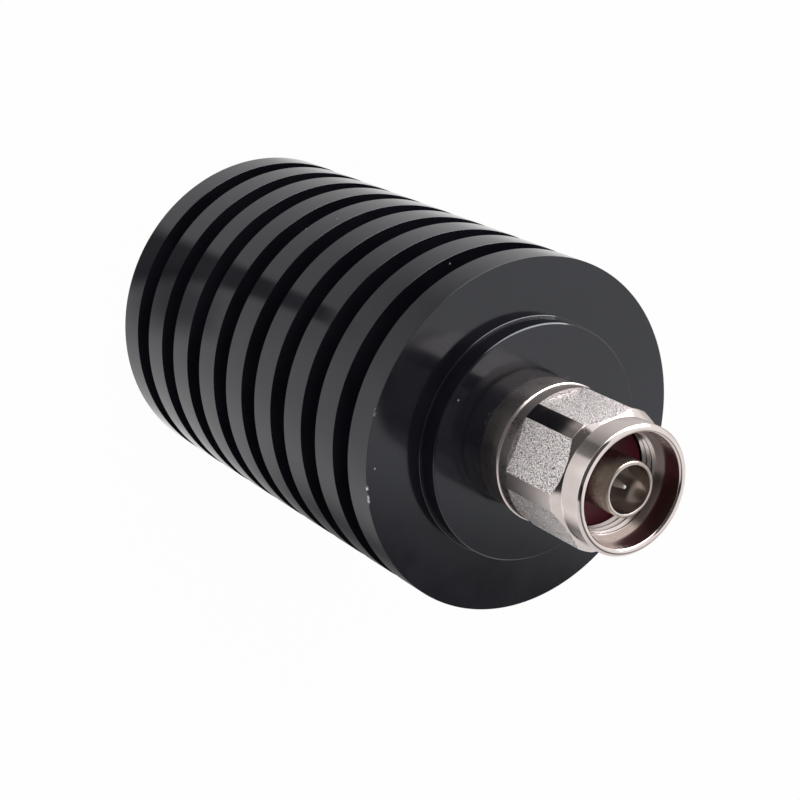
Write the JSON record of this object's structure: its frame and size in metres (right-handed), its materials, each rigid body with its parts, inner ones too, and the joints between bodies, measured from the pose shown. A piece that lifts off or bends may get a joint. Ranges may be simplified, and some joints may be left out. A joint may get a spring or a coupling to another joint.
{
  "type": "rf dummy load",
  "caption": "Coaxial dummy load: a black anodised round heat sink with fins, standing on its rear face, with a nickel-plated plug and a turning coupling nut on its axis.",
  "frame": {"origin": "centre of the heat sink's flat rear face, on which the part stands", "axes": "+Z along the axis, from the rear face to the plug; the resistor inside lies on the -Y side"},
  "size_m": [0.053, 0.053, 0.1],
  "materials": {
    "anodised": "satin",
    "nickel": "polished",
    "silver_plate": "satin",
    "silicone": "matte",
    "ptfe": "satin",
    "plated_copper": "satin",
    "ceramic": "matte",
    "spring_steel": "satin"
  },
  "bodies": {
    "load": {"heat_sink": "anodised", "front_cap": "anodised", "plug_body": "nickel", "retaining_ring": "spring_steel", "gasket": "silicone", "outer_contact": "nickel", "center_contact": "silver_plate", "front_insulator": "ptfe", "rear_insulator": "ptfe", "resistor_flange": "plated_copper", "resistor_substrate": "ceramic", "resistor_cover": "ceramic", "lead_strip": "silver_plate", "flange_screws": "spring_steel"},
    "nut": {"coupling_nut": "nickel"}
  },
  "joints": [
    {"name": "nut_spin", "type": "hinge", "parent": "load", "child": "nut", "pos_m": [0, 0, 0.0914], "axis": [0, 0, 1], "continuous": true}
  ]
}
